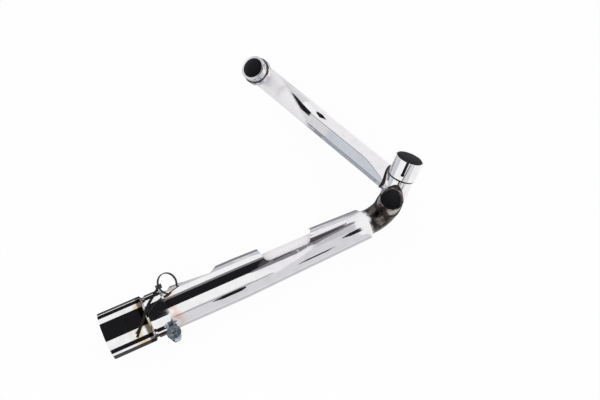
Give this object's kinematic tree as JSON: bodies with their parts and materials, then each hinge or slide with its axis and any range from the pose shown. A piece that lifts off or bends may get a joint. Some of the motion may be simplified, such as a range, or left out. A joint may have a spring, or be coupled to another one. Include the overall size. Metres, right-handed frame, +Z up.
{
  "type": "motorcycle exhaust header",
  "caption": "Chromed exhaust header: a head pipe tees into a shielded run with a slotted slip collar, an open crossover stub and a clamped outlet sleeve.",
  "frame": {"origin": "centre of the outlet sleeve's mouth", "axes": "+X along the level run from the outlet towards the junction, +Y across towards the head pipe, +Z up"},
  "size_m": [0.5021, 0.3722, 0.1257],
  "materials": {
    "chromed_tube": "bright chrome on bent tube, straw tint by the outlet",
    "chromed_sheet": "bright chrome on rolled sheet",
    "weld_bead": "dull dark weld bead",
    "graphite_gasket": "pressed graphite",
    "zinc_plate": "blue-grey zinc plate",
    "plain_steel": "plain pressed steel",
    "black_nylon": "moulded black nylon"
  },
  "bodies": {
    "root": {"main_pipe": "chromed_tube", "head_pipe": "chromed_tube", "port_ferrule": "chromed_tube", "port_weld": "weld_bead", "junction_weld": "weld_bead", "crossover_stub": "chromed_tube", "stub_weld": "weld_bead", "slip_collar": "chromed_tube", "collar_weld": "weld_bead", "seam_weld": "weld_bead", "outlet_cone": "chromed_tube", "cone_weld": "weld_bead", "outlet_gasket": "graphite_gasket", "outlet_sleeve": "chromed_tube", "clamp_band": "chromed_tube", "clamp_bolt": "zinc_plate", "clamp_nut": "zinc_plate", "heat_shield": "chromed_sheet", "rear_standoff": "plain_steel", "front_standoff": "plain_steel", "cable_tie": "black_nylon"}
  },
  "joints": []
}
